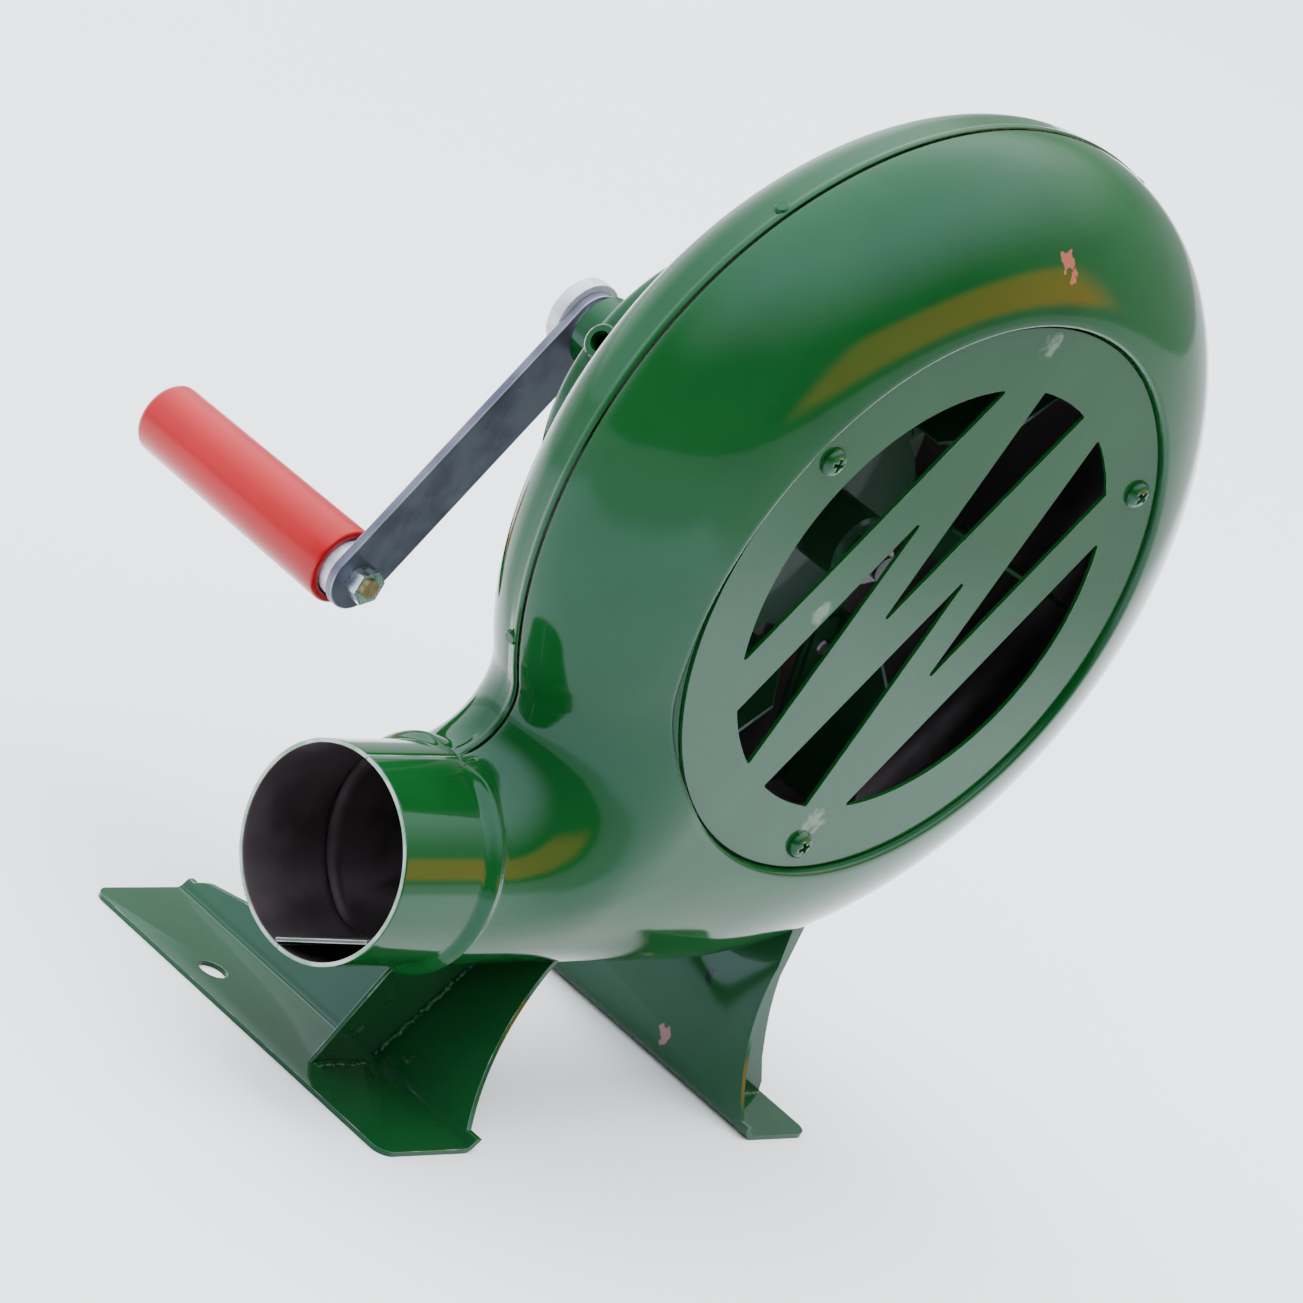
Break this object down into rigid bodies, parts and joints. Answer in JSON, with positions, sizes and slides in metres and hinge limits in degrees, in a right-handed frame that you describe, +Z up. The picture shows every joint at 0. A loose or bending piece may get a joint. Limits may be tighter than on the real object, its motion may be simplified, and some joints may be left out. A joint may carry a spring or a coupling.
{
  "type": "hand crank forge blower",
  "caption": "Hand-cranked centrifugal blower in pressed green sheet steel with a side outlet pipe, slotted intake cover, two bolted feet and a geared crank with a red grip.",
  "frame": {"origin": "midway between the centres of the two foot bolt holes, on the bench under the feet", "axes": "+Z up, fan and crank axes along Y, intake cover towards -Y, crank towards +Y, outlet towards -X"},
  "size_m": [0.2877, 0.2205, 0.3126],
  "materials": {
    "casing_enamel": "glossy deep green enamel over sheet steel",
    "fan_enamel": "green enamel, satin",
    "plate_grey": "light grey-green paint",
    "arm_steel": "dark mill-finish steel bar",
    "turned_steel": "light grey turned steel",
    "gear_steel": "greased cut steel",
    "zinc_plate": "bright blue-white zinc plate",
    "bolt_passivated": "yellow passivated steel, brass-coloured",
    "bush_bronze": "oil-filled bronze",
    "grip_red": "glossy red moulded plastic"
  },
  "bodies": {
    "casing": {"front_shell": "casing_enamel", "rear_shell": "casing_enamel", "intake_cover": "casing_enamel", "cover_screw_1": "casing_enamel", "cover_screw_2": "casing_enamel", "cover_screw_3": "casing_enamel", "throat_strip": "casing_enamel", "seam_rivets": "casing_enamel", "left_foot": "casing_enamel", "right_foot": "casing_enamel", "left_gusset": "casing_enamel", "right_gusset": "casing_enamel", "backing_plate": "plate_grey", "gear_plate": "plate_grey", "gear_cover": "casing_enamel", "oil_eyelet": "casing_enamel", "case_bolt_1": "casing_enamel", "case_nut_1": "zinc_plate", "case_bolt_2": "casing_enamel", "case_nut_2": "zinc_plate", "case_bolt_3": "casing_enamel", "case_nut_3": "zinc_plate", "fan_bush": "bush_bronze", "idler_post": "turned_steel", "crank_bush": "casing_enamel", "crank_foot_bush": "bush_bronze"},
    "crank": {"crank_shaft": "turned_steel", "crank_gear": "gear_steel", "crank_arm": "arm_steel", "crank_hub": "turned_steel", "grip_bolt": "bolt_passivated", "grip_nut": "zinc_plate", "grip_sleeve": "turned_steel"},
    "grip": {"grip": "grip_red"},
    "idler": {"idler_gear": "gear_steel", "idler_pinion": "gear_steel"},
    "fan": {"fan_shaft": "turned_steel", "fan_pinion": "gear_steel", "fan_hub": "turned_steel", "fan_spider": "fan_enamel", "fan_blade_1": "fan_enamel", "fan_blade_2": "fan_enamel", "fan_blade_3": "fan_enamel", "fan_blade_4": "fan_enamel", "fan_blade_5": "fan_enamel", "fan_blade_6": "fan_enamel", "fan_rivets": "turned_steel", "fan_back_washer": "turned_steel", "fan_nut": "turned_steel"}
  },
  "joints": [
    {"name": "crank_turn", "type": "hinge", "parent": "casing", "child": "crank", "pos_m": [-0.002, 0.036, 0.198], "axis": [0, 1, 0], "continuous": true},
    {"name": "idler_spin", "type": "hinge", "parent": "casing", "child": "idler", "pos_m": [0.03314, -0.009, 0.20584], "axis": [0, 1, 0], "continuous": true},
    {"name": "fan_spin", "type": "hinge", "parent": "casing", "child": "fan", "pos_m": [0.036, -0.048, 0.18], "axis": [0, 1, 0], "continuous": true},
    {"name": "grip_spin", "type": "hinge", "parent": "crank", "child": "grip", "pos_m": [-0.0505, 0.085, 0.111], "axis": [0, 1, 0], "continuous": true}
  ],
  "couplings": [
    {"joint": "idler_spin", "follows": "crank_turn", "ratio": -5},
    {"joint": "fan_spin", "follows": "crank_turn", "ratio": 16.667}
  ]
}
